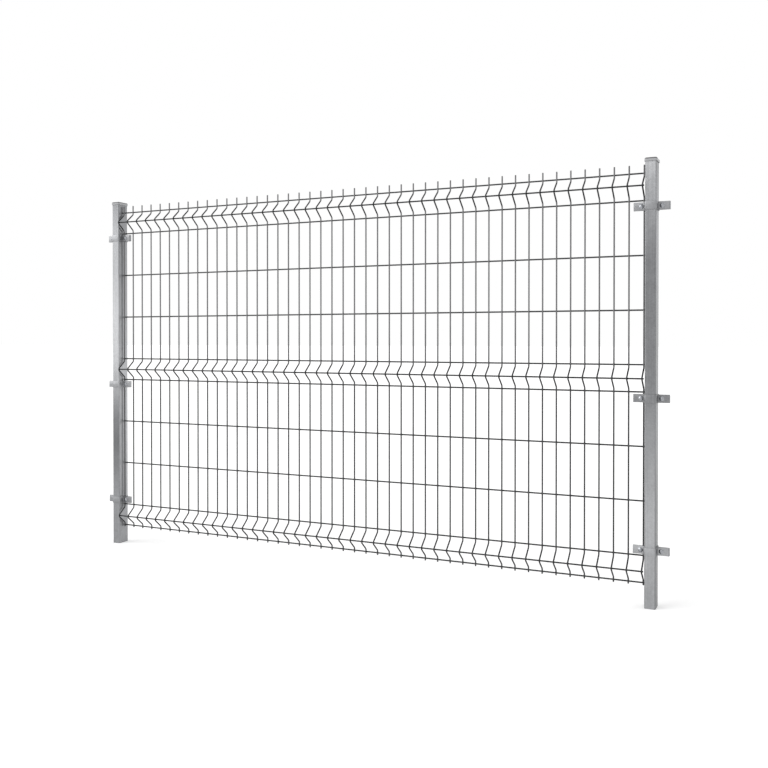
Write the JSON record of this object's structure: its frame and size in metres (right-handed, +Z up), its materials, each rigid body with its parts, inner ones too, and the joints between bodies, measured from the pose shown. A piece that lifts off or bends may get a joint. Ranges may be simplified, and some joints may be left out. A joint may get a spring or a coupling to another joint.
{
  "type": "welded mesh fence panel",
  "caption": "Bay of welded wire mesh fence: folded mesh panel with spiked top, held between two capped tube posts by bolted clamps.",
  "frame": {"origin": "centre of the left post's foot, on the ground line", "axes": "+X along the fence from the left post to the right post, -Y towards the side that the folds point to, +Z up"},
  "size_m": [2.615, 0.0763, 1.635],
  "materials": {
    "post_steel": "hot-dip galvanised, dull grey",
    "cap": "grey moulded plastic, slightly glossy",
    "wire_steel": "galvanised drawn wire, dark dull grey",
    "clamp_steel": "galvanised pressed sheet"
  },
  "bodies": {
    "root": {"left_post": "post_steel", "left_post_cap": "cap", "right_post": "post_steel", "right_post_cap": "cap", "mesh_left": "wire_steel", "mesh_right": "wire_steel", "left_upper_clamp_front": "clamp_steel", "left_upper_clamp_rear": "clamp_steel", "left_middle_clamp_front": "clamp_steel", "left_middle_clamp_rear": "clamp_steel", "left_lower_clamp_front": "clamp_steel", "left_lower_clamp_rear": "clamp_steel", "right_upper_clamp_front": "clamp_steel", "right_upper_clamp_rear": "clamp_steel", "right_middle_clamp_front": "clamp_steel", "right_middle_clamp_rear": "clamp_steel", "right_lower_clamp_front": "clamp_steel", "right_lower_clamp_rear": "clamp_steel"}
  },
  "joints": []
}
